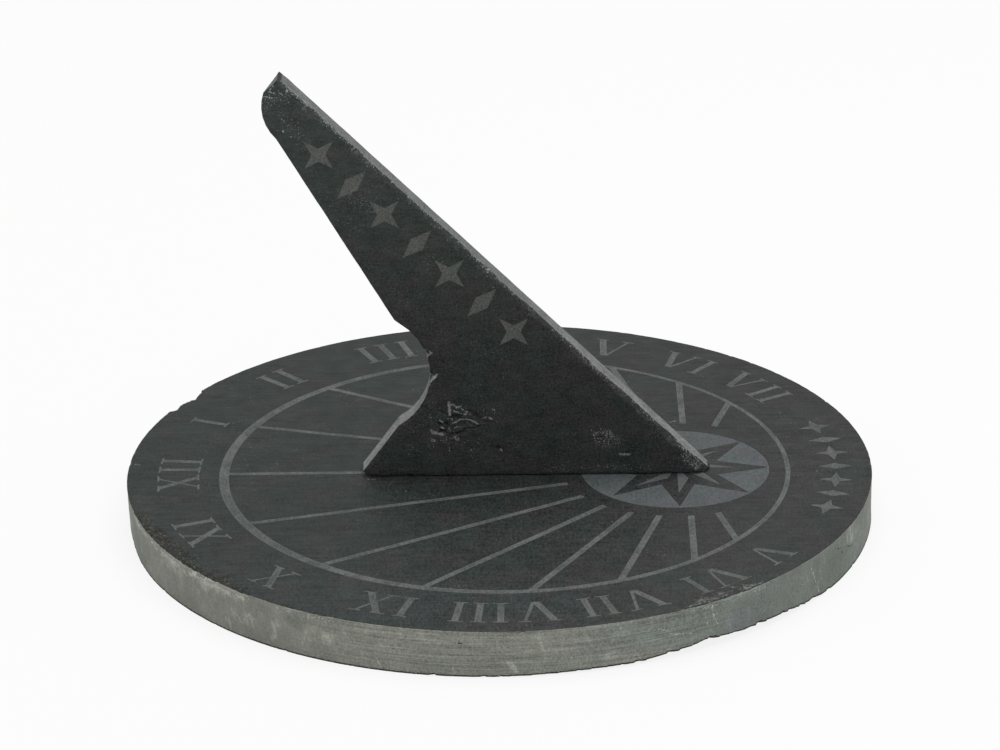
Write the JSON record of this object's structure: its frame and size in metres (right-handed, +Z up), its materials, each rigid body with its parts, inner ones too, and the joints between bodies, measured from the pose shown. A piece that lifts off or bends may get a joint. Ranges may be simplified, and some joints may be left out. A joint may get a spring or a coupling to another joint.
{
  "type": "sundial",
  "caption": "Round horizontal slate sundial with engraved Roman hour numerals, hour lines and compass rose, and an upright slate gnomon with a sloping style.",
  "frame": {"origin": "middle of the disc's underside", "axes": "+Z up out of the dial face, +Y along the noon line to XII, +X to the afternoon side"},
  "size_m": [0.25, 0.25, 0.157],
  "materials": {
    "dial_slate": "honed dark grey slate with pale cut marks",
    "gnomon_slate": "riven black slate with light sawn edges",
    "bedding_resin": "grey stone resin",
    "stainless_steel": "plain stainless steel",
    "washer_steel": "stamped stainless steel",
    "plug_nylon": "natural nylon"
  },
  "bodies": {
    "root": {"dial_plate": "dial_slate", "gnomon": "gnomon_slate", "gnomon_bedding": "bedding_resin", "gnomon_screws": "stainless_steel", "screw_washers": "washer_steel", "gnomon_plugs": "plug_nylon"}
  },
  "joints": []
}
